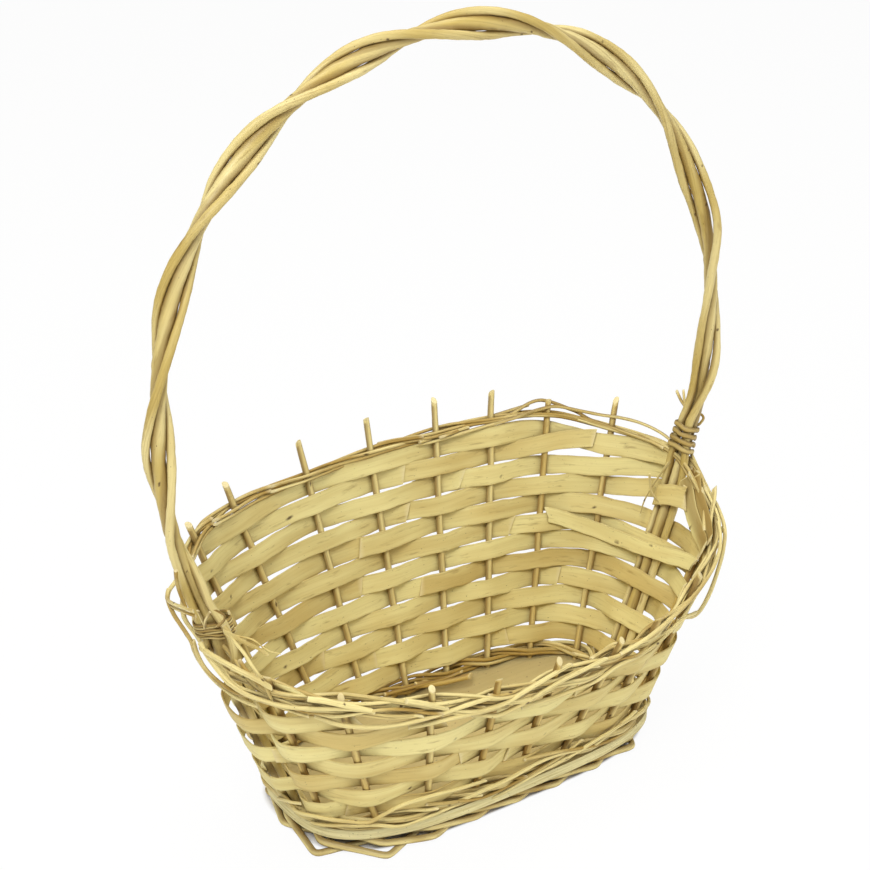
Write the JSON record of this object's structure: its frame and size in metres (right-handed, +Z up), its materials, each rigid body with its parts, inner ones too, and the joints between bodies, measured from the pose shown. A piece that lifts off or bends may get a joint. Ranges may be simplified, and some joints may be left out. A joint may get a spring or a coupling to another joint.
{
  "type": "gift basket",
  "caption": "Oval woven willow gift basket with a high back, a low front, a wooden base board and a twisted hoop handle.",
  "frame": {"origin": "middle of the bounding box in plan, on the surface that the basket stands on", "axes": "+Z up, X along the handle and the long side of the oval, the low front at -Y and the high back at +Y"},
  "size_m": [0.3516, 0.1726, 0.4069],
  "materials": {
    "willow_chip": "bare split willow, matt with a faint sheen",
    "willow_stake": "peeled round willow, satin",
    "willow_handle_rod": "peeled round willow, satin",
    "willow_wale_rod": "peeled thin willow, satin",
    "willow_lapping": "peeled thin willow, satin",
    "base_board": "raw plywood, matt"
  },
  "bodies": {
    "root": {"base_board": "base_board", "stake_back_1": "willow_stake", "stake_back_2": "willow_stake", "stake_back_3": "willow_stake", "stake_back_4": "willow_stake", "stake_back_5": "willow_stake", "stake_back_6": "willow_stake", "stake_back_7": "willow_stake", "stake_back_8": "willow_stake", "stake_left": "willow_stake", "stake_front_1": "willow_stake", "stake_front_2": "willow_stake", "stake_front_3": "willow_stake", "stake_front_4": "willow_stake", "stake_front_5": "willow_stake", "stake_front_6": "willow_stake", "stake_front_7": "willow_stake", "stake_front_8": "willow_stake", "stake_right": "willow_stake", "handle_rod_front": "willow_handle_rod", "handle_rod_middle": "willow_handle_rod", "handle_rod_back": "willow_handle_rod", "chip_row_1": "willow_chip", "chip_row_2": "willow_chip", "chip_row_3": "willow_chip", "chip_row_4": "willow_chip", "chip_row_5": "willow_chip", "chip_row_6": "willow_chip", "chip_row_7": "willow_chip", "chip_row_8": "willow_chip", "chip_row_9": "willow_chip", "chip_row_10": "willow_chip", "chip_row_11": "willow_chip", "chip_row_12": "willow_chip", "foot_rod_1": "willow_wale_rod", "foot_rod_2": "willow_wale_rod", "base_wale_rod_1": "willow_wale_rod", "base_wale_rod_2": "willow_wale_rod", "base_wale_rod_3": "willow_wale_rod", "rim_wale_rod_1": "willow_wale_rod", "rim_wale_rod_2": "willow_wale_rod", "rim_wale_rod_3": "willow_wale_rod", "front_border_rod_1": "willow_wale_rod", "front_border_rod_2": "willow_wale_rod", "lapping_left": "willow_lapping", "lapping_right": "willow_lapping"}
  },
  "joints": []
}
